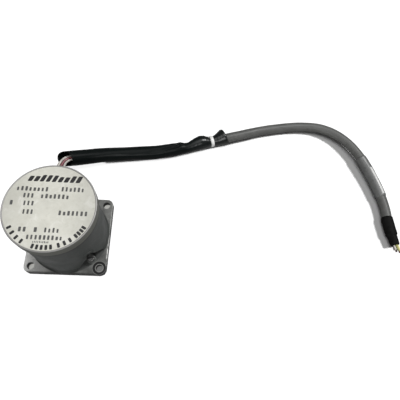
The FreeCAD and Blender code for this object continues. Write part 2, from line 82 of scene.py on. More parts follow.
# Softboxes: offset from the middle of the set in metres, diameter in metres, power in watts.
KEY_LIGHT = ((0.62, 0.42, 1.15), 0.30, 13.0)
FRONT_LIGHT = ((0.10, -0.75, 0.75), 0.50, 3.6)
TOP_LIGHT = ((-0.10, 0.05, 0.95), 0.80, 3.1)
UNDER_LIGHT = ((0.25, -0.45, -0.60), 0.50, 5.0)
CABLE_FILL = ((-0.32, -0.62, 0.10), 0.50, 2.8)
FLOOR_LAMP_FROM = (1.0, 0.25, 1.23)
FLOOR_LAMP_POWER = 4.0
FLOOR_LAMP_ANGLE = 10
WORLD_LIGHT = 0.08


def add_camera():
    data = bpy.data.cameras.new("camera")
    data.sensor_width = SENSOR
    data.lens = LENS
    camera = bpy.data.objects.new("camera", data)
    camera.location = CAMERA_PLACE
    camera.rotation_euler = [math.radians(angle) for angle in CAMERA_TURN]
    bpy.context.scene.collection.objects.link(camera)
    bpy.context.scene.camera = camera


def add_light(name, kind, place, aim, energy):
    data = bpy.data.lights.new(name, kind)
    data.energy = energy
    light = bpy.data.objects.new(name, data)
    light.location = place
    light.rotation_mode = "QUATERNION"
    light.rotation_quaternion = (aim - place).to_track_quat("-Z", "Y")
    bpy.context.scene.collection.objects.link(light)
    return light


def add_softbox(name, settings):
    """A round softbox that looks at the middle of the set."""
    away, size, energy = settings
    middle = (cad_box[0] + cad_box[1]) / 2
    aim = Vector((middle.x, middle.y, 0))
    light = add_light(name, "AREA", aim + Vector(away), aim, energy)
    light.data.shape = "DISK"
    light.data.size = size
    return light


def linked_group(name, pieces, state="INCLUDE"):
    """A light-linking collection of pieces."""
    group = bpy.data.collections.new(name)
    for piece in pieces:
        group.objects.link(piece)
    for member in group.collection_objects:
        member.light_linking.link_state = state
    return group


def add_lights(floor, cable):
    """Softboxes for the motor and cable, and a lamp for the floor that only the cable shades."""
    key = add_softbox("key_light", KEY_LIGHT)
    front = add_softbox("front_light", FRONT_LIGHT)
    off_floor = linked_group("off_floor", [floor], "EXCLUDE")
    for light in (key, front):
        light.light_linking.receiver_collection = off_floor
    add_softbox("top_light", TOP_LIGHT)
    add_softbox("under_light", UNDER_LIGHT)
    fill = add_softbox("cable_fill", CABLE_FILL)
    fill.light_linking.receiver_collection = linked_group("fill_subjects", cable)
    lamp = add_light("floor_lamp", "SUN", Vector(FLOOR_LAMP_FROM), Vector(), FLOOR_LAMP_POWER)
    lamp.data.angle = math.radians(FLOOR_LAMP_ANGLE)
    lamp.light_linking.receiver_collection = linked_group("lamp_subjects", [floor])
    lamp.light_linking.blocker_collection = linked_group("lamp_blockers", cable)


def add_world():
    """White to the camera and dim as a light, so that the sides of the parts stay dark."""
    world = bpy.data.worlds.new("studio")
    world.use_nodes = True
    bpy.context.scene.world = world
    tree = world.node_tree
    background = tree.nodes["Background"]
    background.inputs["Color"].default_value = (1, 1, 1, 1)
    background.inputs["Strength"].default_value = WORLD_LIGHT
    bright = tree.nodes.new("ShaderNodeBackground")
    bright.inputs["Color"].default_value = (1, 1, 1, 1)
    choose = tree.nodes.new("ShaderNodeMixShader")
    seen = tree.nodes.new("ShaderNodeLightPath")
    tree.links.new(seen.outputs["Is Camera Ray"], choose.inputs[0])
    tree.links.new(background.outputs[0], choose.inputs[1])
    tree.links.new(bright.outputs[0], choose.inputs[2])
    tree.links.new(choose.outputs[0], tree.nodes["World Output"].inputs["Surface"])
    bpy.context.scene.view_settings.view_transform = "Standard"


def add_floor():
    """A plain pale panel at the mounting face, with a hole that the pilot boss sits in."""
    made = bmesh.new()
    inner = []
    outer = []
    for index in range(FLOOR_SIDES):
        angle = 2 * math.pi * index / FLOOR_SIDES
        ray = Vector((math.cos(angle), math.sin(angle), 0))
        inner.append(made.verts.new(ray * mm(PILOT_HOLE_R)))
        outer.append(made.verts.new(ray * FLOOR_REACH))
    for index in range(FLOOR_SIDES):
        after = (index + 1) % FLOOR_SIDES
        made.faces.new((inner[index], outer[index], outer[after], inner[after]))
    floor = mesh_object("floor", made)
    floor.data.materials.append(floor_material())
    return floor


# ---- materials ------------------------------------------------------------------------------
# How far the flange's holes and the housing's two lugs are from the axis, across and along, in mm.
HOLE_PLACE = 23.57
LUG_PLACE = 17.82
# Places on the part, in millimetres, where one look gives way to another: (start, end) of each run.
FLANGE_SHADE_PATCH = (27.0, 27.4)
SPOT_SHADE_PATCH = (6.0, 8.0)
FLANGE_PALE = (-6.0, -28.0)
FOOT_PAINT_AND_SHADE_RADIUS = (28.4, 27.7)
DARKER_ROUND_HOLE_RADIUS = (31.0, 14.0)
FRONT_EDGE_SHADE = (-27.0, -27.9)
SIDE_EDGE = (27.3, 28.1)
WEAR_RUN = (3.0, -6.0)
FLANGE_TOP = (4.2, 4.55)
# Rings round the spot-faced hole, outermost first: a faint bright ring, a black ring of painted shadow
# from a counterbore's wall, and a paler ring at the hole's edge.
SPOT_FACE_RINGS_AND_SHADOW = [
    ((5.0, 4.8), (0.20, 0.20, 0.195)),
    ((4.7, 4.5), (0.01, 0.01, 0.01)),
    ((3.0, 2.85), (0.30, 0.30, 0.29)),
]
LUG_PAINTED_LIGHT_RADIUS = (5.5, 4.0)
LUG_PAINTED_LIGHT_HEIGHT = (22.0, 15.0)
UNDER_CAP_SHADE_HEIGHT = (45.6, 47.4)
CAP_FOOT_SHADE = (51.4, 50.4)
CAP_RIM_HIGHLIGHT = (57.3, 57.7)
LABEL_LEFT_SHADE = (-14.0, -27.0)
LABEL_RIGHT_SHADE = (6.0, 24.0)
SLEEVE_SHINE = (80.0, 100.0)
SOCKETS = {"metallic": "Metallic", "specular_ior_level": "Specular IOR Level"}
WAVE_RATE = 20


class Shader:
    """One Principled material and the nodes that feed it."""

    def __init__(self, name, colour, roughness, **plain):
        self.material = bpy.data.materials.new(name)
        self.material.use_nodes = True
        self.tree = self.material.node_tree
        self.surface = self.tree.nodes["Principled BSDF"]
        self.surface.inputs["Base Color"].default_value = (*colour, 1)
        self.surface.inputs["Roughness"].default_value = roughness
        for socket, value in plain.items():
            self.surface.inputs[SOCKETS[socket]].default_value = value
        self.material.diffuse_color = (*colour, 1)
        self.normal = None

    def node(self, kind, inputs=None, **settings):
        made = self.tree.nodes.new(kind)
        for key, value in settings.items():
            setattr(made, key, value)
        for key, value in (inputs or {}).items():
            if isinstance(value, bpy.types.NodeSocket):
                self.tree.links.new(value, made.inputs[key])
            else:
                made.inputs[key].default_value = value
        return made

    def place(self, stretch=(1, 1, 1)):
        """Object coordinates, whose patterns are drawn out along the axes with a small number."""
        where = self.node("ShaderNodeTexCoord").outputs["Object"]
        return self.node(
            "ShaderNodeVectorMath", {0: where, 1: stretch}, operation="MULTIPLY"
        ).outputs[0]

    def axes(self):
        """The x, y and z of the place being shaded."""
        return self.node("ShaderNodeSeparateXYZ", {0: self.place()}).outputs

    def noise(self, size, detail, stretch=(1, 1, 1), distortion=0.0):
        """Noise with blotches about size millimetres across, from 0 to 1."""
        inputs = {
            "Vector": self.place(stretch),
            "Scale": 1 / mm(size),
            "Detail": detail,
            "Roughness": 0.6,
            "Distortion": distortion,
        }
        return self.node("ShaderNodeTexNoise", inputs).outputs["Fac"]

    def ramp(self, value, *stops):
        """value through a ramp of (place, grey) or (place, colour) stops."""
        made = self.node("ShaderNodeValToRGB", {"Fac": value})
        elements = made.color_ramp.elements
        while len(elements) < len(stops):
            elements.new(0.5)
        for element, (place, colour) in zip(elements, stops):
            element.position = place
            grey = isinstance(colour, (int, float))
            element.color = (colour, colour, colour, 1) if grey else (*colour, 1)
        return made.outputs["Color"]

    def maths(self, operation, first, second=0.0):
        return self.node("ShaderNodeMath", {0: first, 1: second}, operation=operation).outputs[0]

    def mix(self, factor, low, high, kind="MIX"):
        """The colour low where factor is 0 and high where it is 1."""
        def coloured(value):
            return value if isinstance(value, bpy.types.NodeSocket) else (*value, 1)

        inputs = {0: factor, 6: coloured(low), 7: coloured(high)}
        made = self.node("ShaderNodeMix", inputs, data_type="RGBA", blend_type=kind)
        return made.outputs[2]

    def use(self, socket, value):
        self.tree.links.new(value, self.surface.inputs[socket])
        return self

    def bump(self, height, depth, strength):
        """Adds relief of depth millimetres where height runs from 0 to 1."""
        inputs = {"Height": height, "Distance": mm(depth), "Strength": strength}
        if self.normal is not None:
            inputs["Normal"] = self.normal
        self.normal = self.node("ShaderNodeBump", inputs).outputs[0]
        return self.use("Normal", self.normal)

    def bands(self, size, distortion):
        """Level bands, from 0 to 1, that repeat about every six times size in millimetres."""
        inputs = {
            "Vector": self.place(),
            "Scale": 1 / mm(size) / WAVE_RATE,
            "Distortion": distortion,
        }
        return self.node("ShaderNodeTexWave", inputs, bands_direction="Z").outputs["Fac"]

    def between(self, value, start, end):
        """0 where value is at start millimetres, 1 where it is at end, with a straight run."""
        inputs = {"Value": value, "From Min": mm(start), "From Max": mm(end)}
        return self.node("ShaderNodeMapRange", inputs).outputs[0]

    def away_from(self, across, along, x, y):
        """Distance in plan from the point x, y in millimetres."""
        across = self.maths("SUBTRACT", across, mm(x))
        along = self.maths("SUBTRACT", along, mm(y))
        squares = [self.maths("MULTIPLY", part, part) for part in (across, along)]
        return self.maths("SQRT", self.maths("ADD", *squares))

    def rough(self, value, low, high):
        """Roughness from low, where value is 0.3, to high, where it is 0.7."""
        inputs = {"Value": value, "From Min": 0.3, "From Max": 0.7, "To Min": low, "To Max": high}
        return self.use("Roughness", self.node("ShaderNodeMapRange", inputs).outputs[0])


def floor_material():
    """Matt white to the camera; greyer for bounced light, so it doesn't light the parts from below.

    The patch under the flange, which shows only through its holes, is painted shade: grey, and
    darker under the spot-faced hole.
    """
    made = Shader("floor_white", (0.9, 0.9, 0.9), 0.8)
    cloud = made.noise(60, 2)
    pale = made.ramp(cloud, (0.3, 0.89), (0.7, 0.91))
    seen = made.node("ShaderNodeLightPath").outputs["Is Camera Ray"]
    across, along, _ = made.axes()
    sides = [made.maths("ABSOLUTE", axis) for axis in (across, along)]
    open_floor = made.between(made.maths("MAXIMUM", *sides), *FLANGE_SHADE_PATCH)
    spot_reach = made.away_from(across, along, HOLE_PLACE, -HOLE_PLACE)
    outside = made.between(spot_reach, *SPOT_SHADE_PATCH)
    # Painted shade on the floor under the flange, darker still under the spot-faced hole.
    under = made.mix(outside, (0.12, 0.12, 0.118), (0.34, 0.34, 0.32))
    pale = made.mix(open_floor, under, pale)
    made.use("Base Color", made.mix(seen, (0.3, 0.3, 0.3), pale))
    made.bump(made.noise(0.8, 2), 0.02, 0.3)
    return made.material


def cast_aluminium():
    """Die-cast flange: grey and finely pitted, pale on its left, bright where it is worn."""
    made = Shader("cast_aluminium_look", (0.30, 0.30, 0.29), 0.5)
    patch = made.noise(7, 4)
    grain = made.noise(0.5, 4)
    across, along, height = made.axes()
    base = made.ramp(patch, (0.36, (0.10, 0.102, 0.097)), (0.62, (0.195, 0.197, 0.188)))
    leftward = made.between(across, *FLANGE_PALE)
    pale = made.ramp(leftward, (0.0, 0.0), (0.36, 0.38), (0.72, 0.5), (1.0, 1.0))
    base = made.mix(pale, base, (0.85, 0.85, 0.83))
    speck = made.ramp(grain, (0.35, 0.66), (0.6, 1.0))
    base = made.mix(0.7, base, speck, "MULTIPLY")
    # Dark inside the housing's foot: the housing's paint, which in the notches also stands in as
    # painted shade on the recess floors.
    painted = made.between(made.away_from(across, along, 0, 0), *FOOT_PAINT_AND_SHADE_RADIUS)
    base = made.mix(painted, base, (0.06, 0.064, 0.061))
    spot_reach = made.away_from(across, along, HOLE_PLACE, -HOLE_PLACE)
    # Darker round the spot-faced hole.
    darker_round_hole = made.maths("MULTIPLY", made.between(spot_reach, *DARKER_ROUND_HOLE_RADIUS), 0.3)
    base = made.mix(darker_round_hole, base, (0.085, 0.087, 0.084))
    # Painted shade on the flange's near edge, which faces away from the lights.
    front = made.maths("MULTIPLY", made.between(along, *FRONT_EDGE_SHADE), 0.75)
    base = made.mix(front, base, (0.035, 0.035, 0.034))
    worn = flange_wear(made, across, along)
    base = made.mix(worn, base, (0.70, 0.70, 0.68))
    # The spot-face rings; the black one is painted shadow.
    for ring, colour in SPOT_FACE_RINGS_AND_SHADOW:
        base = made.mix(made.between(spot_reach, *ring), base, colour)
    level = made.between(height, *FLANGE_TOP)
    # Painted shade: the flange's side faces and hole walls are near black, a little lighter where worn.
    side = made.mix(worn, (0.03, 0.03, 0.029), (0.06, 0.06, 0.059))
    made.use("Base Color", made.mix(level, side, base))
    made.use("Metallic", made.maths("MULTIPLY", level, 0.45))
    made.use("Specular IOR Level", made.ramp(level, (0.0, 0.08), (1.0, 0.5)))
    made.rough(patch, 0.40, 0.6)
    made.bump(grain, 0.05, 0.5)
    made.bump(made.noise(2.2, 3), 0.08, 0.3)
    return made


def flange_wear(made, across, along):
    """How bare the flange's left and right edges are worn, in patches and most towards the front."""
    edge = made.between(made.maths("ABSOLUTE", across), *SIDE_EDGE)
    nearer = made.ramp(made.between(along, *WEAR_RUN), (0.0, 0.35), (1.0, 1.0))
    patches = made.ramp(made.noise(3, 4), (0.36, 0.0), (0.54, 0.95))
    return made.maths("MULTIPLY", made.maths("MULTIPLY", edge, nearer), patches)


def housing_paint():
    """Dark grey paint with a little dust, painted light in the screw's recess and painted shade under
    the cap.
    """
    made = Shader("housing_paint_look", (0.06, 0.062, 0.06), 0.5, metallic=0.2)
    patch = made.noise(14, 4)
    base = made.ramp(patch, (0.3, (0.021, 0.0255, 0.023)), (0.7, (0.038, 0.044, 0.040)))
    dust = made.ramp(made.noise(1.2, 4), (0.5, 0.0), (0.75, 0.2))
    base = made.mix(dust, base, (0.12, 0.125, 0.118))
    across, along, height = made.axes()
    # Painted light in the screw's recess, low on the housing, where the lights don't reach.
    lug_reach = made.away_from(across, along, LUG_PLACE, -LUG_PLACE)
    low = made.between(height, *LUG_PAINTED_LIGHT_HEIGHT)
    recess_painted_light = made.maths("MULTIPLY", made.between(lug_reach, *LUG_PAINTED_LIGHT_RADIUS), low)
    base = made.mix(recess_painted_light, base, (0.16, 0.17, 0.162))
    # Painted shade: a dark band on the housing just under the cap.
    under_cap_shade = made.between(height, *UNDER_CAP_SHADE_HEIGHT)
    made.use("Base Color", made.mix(under_cap_shade, base, (0.004, 0.005, 0.004)))
    made.rough(patch, 0.38, 0.55)
    made.bump(made.noise(0.7, 3), 0.03, 0.4)
    return made


def cap_metal():
    """Turned cap: grey-brown side with faint lathe lines, painted shade at its foot and a painted
    highlight on its rim.
    """
    made = Shader("cap_metal_look", (0.3, 0.29, 0.27), 0.38, metallic=0.4)
    height = made.axes()[2]
    lathe = made.noise(0.5, 3, (0.02, 0.02, 1.0))
    stain = made.noise(5, 4)
    side = made.ramp(stain, (0.3, (0.073, 0.075, 0.064)), (0.7, (0.131, 0.134, 0.116)))
    side = made.mix(made.ramp(lathe, (0.3, 0.0), (0.7, 0.5)), side, (0.18, 0.182, 0.158))
    # Painted shade at the cap's foot, by its joint with the housing.
    side = made.mix(made.between(height, *CAP_FOOT_SHADE), side, (0.015, 0.016, 0.014))
    # Painted highlight on the cap's rim.
    rim = made.between(height, *CAP_RIM_HIGHLIGHT)
    made.use("Base Color", made.mix(rim, side, (0.30, 0.296, 0.286)))
    made.rough(stain, 0.42, 0.6)
    made.bump(lathe, 0.03, 0.35)
    return made


def label_foil():
    """Satin off-white label with painted shade towards both sides, stains, rubbed patches and fine
    scratches.
    """
    made = Shader("label_foil_look", (0.62, 0.61, 0.57), 0.42, metallic=0.12)
    cloud = made.noise(11, 5)
    base = made.ramp(cloud, (0.3, (0.548, 0.543, 0.483)), (0.72, (0.655, 0.650, 0.585)))
    stain = made.ramp(made.noise(3.2, 4, distortion=0.6), (0.54, 0.0), (0.72, 0.4))
    base = made.mix(stain, base, (0.47, 0.46, 0.39))
    rubbed = made.ramp(made.noise(6, 4, distortion=0.8), (0.54, 0.0), (0.72, 0.45))
    base = made.mix(rubbed, base, (0.80, 0.79, 0.75))
    hair = made.ramp(made.noise(0.9, 2, (0.06, 1.0, 1.0)), (0.69, 0.0), (0.75, 0.3))
    base = made.mix(hair, base, (0.42, 0.41, 0.39))
    across = made.axes()[0]
    # Painted shade towards the label's left and right sides.
    left = made.maths("MULTIPLY", made.between(across, *LABEL_LEFT_SHADE), 0.14)
    right = made.maths("MULTIPLY", made.between(across, *LABEL_RIGHT_SHADE), 0.18)
    made.use("Base Color", made.mix(made.maths("ADD", left, right), base, (0.0, 0.0, 0.0)))
    made.rough(made.noise(4, 4), 0.34, 0.52)
    made.bump(made.noise(0.35, 3), 0.015, 0.35)
    made.bump(hair, 0.02, -0.3)
    return made


def label_ink(name, dark, worn):
    """Printed ink, rubbed thin in places."""
    made = Shader(name + "_look", dark, 0.45)
    rubbed = made.ramp(made.noise(0.7, 4), (0.55, 0.0), (0.75, 0.5))
    made.use("Base Color", made.mix(rubbed, dark, worn))
    made.rough(made.noise(1.5, 3), 0.4, 0.6)
    return made


def metal(name, dark, light, low, high, size, stretch=(1, 1, 1)):
    """Bare metal, streaked or clouded between two colours, with its roughness following."""
    made = Shader(name + "_look", light, low, metallic=1.0)
    cloud = made.noise(size, 4, stretch)
    made.use("Base Color", made.ramp(cloud, (0.3, dark), (0.7, light)))
    made.rough(cloud, low, high)
    made.bump(made.noise(size / 6, 3, stretch), 0.01, 0.4)
    return made


def plastic(name, dark, light, low, high, size, depth=0.02, **plain):
    """Moulded plastic or rubber: soft colour patches, uneven shine and a fine skin."""
    made = Shader(name + "_look", light, low, **plain)
    cloud = made.noise(size, 3)
    made.use("Base Color", made.ramp(cloud, (0.32, dark), (0.68, light)))
    made.rough(made.noise(size / 2, 3), low, high)
    made.bump(made.noise(size / 8, 3), depth, 0.4)
    return made


def wire_plastic(name, colour):
    """Wire insulation: even colour, slightly grubby in places."""
    grubby = tuple(0.62 * part for part in colour)
    return plastic(name, grubby, colour, 0.3, 0.45, 3.0, 0.01, specular_ior_level=0.45)


def lamination():
    """Stack of steel sheets, hinted at by level bands."""
    made = Shader("lamination_look", (0.2, 0.2, 0.21), 0.45, metallic=0.9)
    sheets = made.bands(0.5, 0.4)
    made.use("Base Color", made.ramp(sheets, (0.1, 0.06), (0.5, (0.26, 0.26, 0.27))))
    made.bump(sheets, 0.05, 0.6)
    made.rough(made.noise(2, 3), 0.4, 0.6)
    return made


def copper_winding():
    """Enamelled copper wire round the pole, hinted at by uneven bands."""
    made = Shader("copper_look", (0.55, 0.2, 0.07), 0.3, metallic=0.9)
    turns = made.bands(0.45, 1.5)
    made.use("Base Color", made.ramp(turns, (0.1, (0.16, 0.045, 0.015)), (0.6, (0.58, 0.22, 0.08))))
    made.bump(turns, 0.15, 0.8)
    made.rough(made.noise(1.5, 3), 0.25, 0.4)
    return made


def sleeve_pvc():
    """Black sleeve, glossier towards its far end, with dusty patches and soft creases."""
    made = Shader("black_pvc_look", (0.008, 0.008, 0.009), 0.2)
    dust = made.ramp(made.noise(5, 5), (0.55, 0.0), (0.85, 0.08))
    made.use("Base Color", made.mix(dust, (0.005, 0.0068, 0.0066), (0.04, 0.045, 0.044)))
    made.rough(made.noise(6, 3), 0.24, 0.36)
    shine = made.ramp(made.between(made.axes()[0], *SLEEVE_SHINE), (0.0, 0.08), (1.0, 0.5))
    made.use("Specular IOR Level", shine)
    made.bump(made.noise(4.0, 2, (0.3, 1, 1)), 0.08, 0.2)
    return made


def cable_pvc():
    """Grey cable jacket: matt and finely grained, with grimy marks."""
    made = Shader("grey_pvc_look", (0.26, 0.26, 0.26), 0.45, specular_ior_level=0.3)
    cloud = made.noise(6, 4)
    base = made.ramp(cloud, (0.3, (0.073, 0.074, 0.071)), (0.7, (0.098, 0.099, 0.095)))
    grime = made.ramp(made.noise(1.4, 5), (0.56, 0.0), (0.74, 0.45))
    made.use("Base Color", made.mix(grime, base, (0.055, 0.055, 0.053)))
    made.rough(cloud, 0.38, 0.55)
    made.bump(made.noise(0.5, 3), 0.02, 0.4)
    return made


def tape_film():
    """Clear tape over the jacket: grey, with a soft coat of shine, a little crinkled."""
    made = Shader("clear_tape_look", (0.2, 0.205, 0.21), 0.18)
    made.surface.inputs["Coat Weight"].default_value = 0.1
    made.surface.inputs["Coat Roughness"].default_value = 0.35
    cloud = made.noise(3, 4)
    made.use("Base Color", made.ramp(cloud, (0.3, (0.078, 0.080, 0.078)), (0.7, (0.118, 0.120, 0.118))))
    made.rough(cloud, 0.35, 0.5)
    made.bump(made.noise(1.5, 3), 0.08, 0.4)
    return made


# Bare metals: dark and light colour, least and most roughness, cloud size in mm, then its stretch.
METALS = {
    "screw_steel": ((0.10, 0.10, 0.098), (0.24, 0.24, 0.236), 0.4, 0.55, 1.5),
    "ground_steel": ((0.36, 0.36, 0.37), (0.6, 0.6, 0.6), 0.16, 0.32, 2.0, (1, 1, 6)),
    "bearing_steel": ((0.4, 0.4, 0.41), (0.62, 0.62, 0.62), 0.12, 0.22, 1.2),
    "spring_steel": ((0.2, 0.2, 0.22), (0.42, 0.42, 0.42), 0.25, 0.4, 2.0),
    "cage_brass": ((0.4, 0.26, 0.08), (0.62, 0.44, 0.16), 0.25, 0.4, 1.5),
    "magnet": ((0.1, 0.1, 0.1), (0.22, 0.22, 0.22), 0.4, 0.6, 1.5),
}
# Plain plastics, rubber and paper: dark and light colour, least and most roughness, cloud size in mm.
PLASTICS = {
    "insulator": ((0.5, 0.42, 0.28), (0.68, 0.6, 0.42), 0.4, 0.55, 4.0),
    "black_rubber": ((0.008, 0.008, 0.008), (0.03, 0.03, 0.03), 0.5, 0.7, 4.0),
    "white_nylon": ((0.68, 0.68, 0.67), (0.84, 0.84, 0.83), 0.35, 0.5, 2.0),
    "white_paper": ((0.50, 0.50, 0.49), (0.62, 0.62, 0.61), 0.6, 0.75, 2.0),
}
WIRES = {
    "wire_white": (0.66, 0.62, 0.57),
    "wire_cream": (0.66, 0.58, 0.45),
    "wire_brown": (0.16, 0.075, 0.055),
    "wire_red": (0.30, 0.10, 0.115),
    "wire_maroon": (0.09, 0.018, 0.03),
    "wire_olive": (0.34, 0.36, 0.1),
    "wire_yellow": (0.8, 0.72, 0.32),
    "wire_grey": (0.25, 0.25, 0.26),
}
BOOT_BLACK = ((0.003, 0.003, 0.003), (0.007, 0.007, 0.007), 0.55, 0.7, 3.0)
BOLD_INK = ((0.008, 0.008, 0.0085), (0.05, 0.05, 0.05))
FINE_INK = ((0.07, 0.07, 0.068), (0.25, 0.245, 0.235))


def make_materials():
    """The procedural look of each of the record's material slots, and of the label's two inks."""
    made = {
        "cast_aluminium": cast_aluminium(),
        "housing_paint": housing_paint(),
        "cap_metal": cap_metal(),
        "label_foil": label_foil(),
        "lamination": lamination(),
        "copper": copper_winding(),
        "black_pvc": sleeve_pvc(),
        "grey_pvc": cable_pvc(),
        "clear_tape": tape_film(),
        "black_boot": plastic("black_boot", *BOOT_BLACK, specular_ior_level=0.07),
        "bold_ink": label_ink("bold_ink", *BOLD_INK),
        "fine_ink": label_ink("fine_ink", *FINE_INK),
    }
    made.update({slot: metal(slot, *settings) for slot, settings in METALS.items()})
    made.update({slot: plastic(slot, *settings) for slot, settings in PLASTICS.items()})
    made.update({slot: wire_plastic(slot, colour) for slot, colour in WIRES.items()})
    return made


# ---- mesh helpers ---------------------------------------------------------------------------
def mesh_object(name, made, smooth=False):
    """A new object from a bmesh, with its faces turned outward."""
    bmesh.ops.recalc_face_normals(made, faces=made.faces)
    mesh = bpy.data.meshes.new(name)
    made.to_mesh(mesh)
    made.free()
    if smooth:
        mesh.shade_smooth()
    piece = bpy.data.objects.new(name, mesh)
    bpy.context.scene.collection.objects.link(piece)
    return piece


def fit_out(piece, slot, look=None):
    """Gives a new piece its material and slot, and lets it ride on the motor body."""
    piece.data.materials.clear()
    piece.data.materials.append((look or looks[slot]).material)
    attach(piece, "motor_body")
    return piece


# ---- cords ----------------------------------------------------------------------------------
WIRE_R = 0.8
CABLE_R = 3.75
BUNDLE_ROUTE = [
    (-5.5, 23.9, 14.0), (-7.9, 34.1, 14.2), (-12.6, 44.8, 14.2), (-11.2, 55.5, 13.2),
    (-4.2, 59.8, 11.2), (4.5, 62.3, 8.8), (13.5, 65.1, 6.7), (23.0, 66.2, 6.3),
]
# How wide the wires spread at each point of the route, and each wire's place to the side and up.
BUNDLE_SPREAD = [0.9, 1.0, 1.2, 0.9, 0.84, 0.84, 0.84, 0.84]
WIRE_PLACES = [(-2.5, 0.75), (-1.5, -0.75), (-0.5, 0.75), (0.5, -0.75), (1.5, 0.75), (2.5, -0.75)]
WIRE_SLOTS = ["wire_white", "wire_maroon", "wire_red", "wire_brown", "wire_white", "wire_cream"]
SLEEVE_ROUTE = [
    (-10.5, 56.8, 13.0), (12.4, 64.9, 6.4), (49.4, 69.6, 5.8), (74.0, 73.6, 5.8),
    (94.0, 80.6, 5.9), (113.2, 86.74, 5.9),
]
SLEEVE_LENGTH = 128.5
CABLE_ROUTE = [
    (24.0, 66.35, 6.2), (49.4, 69.6, 5.8), (74.0, 73.6, 5.8), (94.0, 80.6, 5.9),
    (124.0, 90.2, 5.8), (150.5, 99.3, 3.9), (185.1, 104.3, 4.4), (206.1, 97.0, 5.9),
    (221.1, 80.9, 6.3), (231.6, 56.4, 5.5), (237.9, 34.6, 4.5), (238.1, 17.6, 4.3),
    (240.6, 4.5, 4.3),
]
CURVE_STEPS = 24
# Half the stretch of a line that gives its direction, and the lowest point of a swept shell, in mm.
BASIS_REACH = 1.0
FLOOR_GAP = 0.05


def side_step(route, index):
    """Unit step to the left of the route in plan, mitred at its corners."""
    here = Vector(route[index])
    arriving = here - Vector(route[index - 1]) if index else None
    leaving = Vector(route[index + 1]) - here if index + 1 < len(route) else None
    lefts = [UP.cross(run).normalized() for run in (arriving, leaving) if run is not None]
    mitre = sum(lefts, Vector()).normalized()
    return mitre / mitre.dot(lefts[0])


def wire_route(place):
    """The bundle's route moved sideways and up to one wire's place in it."""
    side, rise = place
    return [
        Vector(centre) + side_step(BUNDLE_ROUTE, index) * (side * BUNDLE_SPREAD[index]) + UP * rise
        for index, centre in enumerate(BUNDLE_ROUTE)
    ]


def nurbs_curve(name, route):
    """A smooth curve whose control points are the route's points, in millimetres."""
    data = bpy.data.curves.new(name, "CURVE")
    data.dimensions = "3D"
    data.resolution_u = CURVE_STEPS
    spline = data.splines.new("NURBS")
    spline.points.add(len(route) - 1)
    for point, place in zip(spline.points, route):
        point.co = (*(Vector(place) * MM), 1)
    spline.order_u = 3
    spline.use_endpoint_u = True
    curve = bpy.data.objects.new(name, data)
    bpy.context.scene.collection.objects.link(curve)
    return curve


class Line:
    """The points that a cord's NURBS spline gives, with places found by distance along it."""

    def __init__(self, name, route):
        curve = nurbs_curve(name + "_line", route)
        mesh = bpy.data.meshes.new_from_object(curve)
        self.points = [vertex.co.copy() for vertex in mesh.vertices]
        bpy.data.objects.remove(curve)
        bpy.data.meshes.remove(mesh)
        self.reach = [0.0]
        for before, after in zip(self.points, self.points[1:]):
            self.reach.append(self.reach[-1] + (after - before).length)
        self.length = self.reach[-1]

    def at(self, distance):
        """The point at a distance along the line, run on straight past its ends."""
        last = len(self.points) - 2
        index = next((i for i in range(last) if self.reach[i + 1] > distance), last)
        start, end = self.points[index], self.points[index + 1]
        return start.lerp(end, (distance - self.reach[index]) / (end - start).length)

    def basis(self, distance):
        """Place, direction, left and up of the line at a distance along it."""
        ahead = self.at(distance + mm(BASIS_REACH))
        behind = self.at(distance - mm(BASIS_REACH))
        direction = (ahead - behind).normalized()
        left = UP.cross(direction).normalized()
        return self.at(distance), direction, left, direction.cross(left)


def swept_shell(name, line, stations, around, closed=False):
    """Rings of points round the line, joined in order, none of them below the floor.

    Each station is a function of the angle that gives (distance along, radius), in metres.
    closed joins the last ring to the first; otherwise both ends are capped.
    """
    made = bmesh.new()
    rings = []
    for station in stations:
        ring = []
        for index in range(around):
            angle = 2 * math.pi * index / around
            distance, radius = station(angle)
            centre, _, left, up = line.basis(distance)
            place = centre + (left * math.cos(angle) + up * math.sin(angle)) * radius
            place.z = max(place.z, mm(FLOOR_GAP))
            ring.append(made.verts.new(place))
        rings.append(ring)
    pairs = list(zip(rings, rings[1:]))
    if closed:
        pairs.append((rings[-1], rings[0]))
    for near, far in pairs:
        for index in range(around):
            after = (index + 1) % around
            made.faces.new((near[index], near[after], far[after], far[index]))
    if not closed:
        for ring in (rings[0], rings[-1]):
            made.faces.new(ring)
    return mesh_object(name, made, smooth=True)


def steps(begin, end, pitch):
    """Distances from begin to end, both included, about a pitch apart."""
    count = max(1, round(abs(end - begin) / pitch))
    return [begin + (end - begin) * index / count for index in range(count + 1)]


def hill(value, centre, width):
    """A smooth bump of height 1 at centre, about width wide on each side."""
    return math.exp(-(((value - centre) / width) ** 2))


def smooth_between(value, stops):
    """Piecewise smooth interpolation through (place, value) stops."""
    if value <= stops[0][0]:
        return stops[0][1]
    for (x0, y0), (x1, y1) in zip(stops, stops[1:]):
        if value <= x1:
            share = (value - x0) / (x1 - x0)
            share = share * share * (3 - 2 * share)
            return y0 + (y1 - y0) * share
    return stops[-1][1]


# ---- lead wires -----------------------------------------------------------------------------
def add_lead_wires():
    """Six round wires side by side in two layers, each with its colour."""
    for index, place in enumerate(WIRE_PLACES):
        route = wire_route(place)
        name = f"lead_wire_{index + 1}"
        wire = nurbs_curve("motor_" + name, route)
        wire.data.bevel_depth = mm(WIRE_R)
        wire.data.bevel_resolution = 5
        wire.data.use_fill_caps = True
        fit_out(wire, WIRE_SLOTS[index])
        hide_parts(name)


# ---- sleeve and tie -------------------------------------------------------------------------
SLEEVE_WALL = 0.45
TIE_FROM_END = 12.6
TIE_WIDTH = 2.6
TIE_THICK = 0.55
TIE_CHAMFER = 0.2
TIE_SIDES = 64
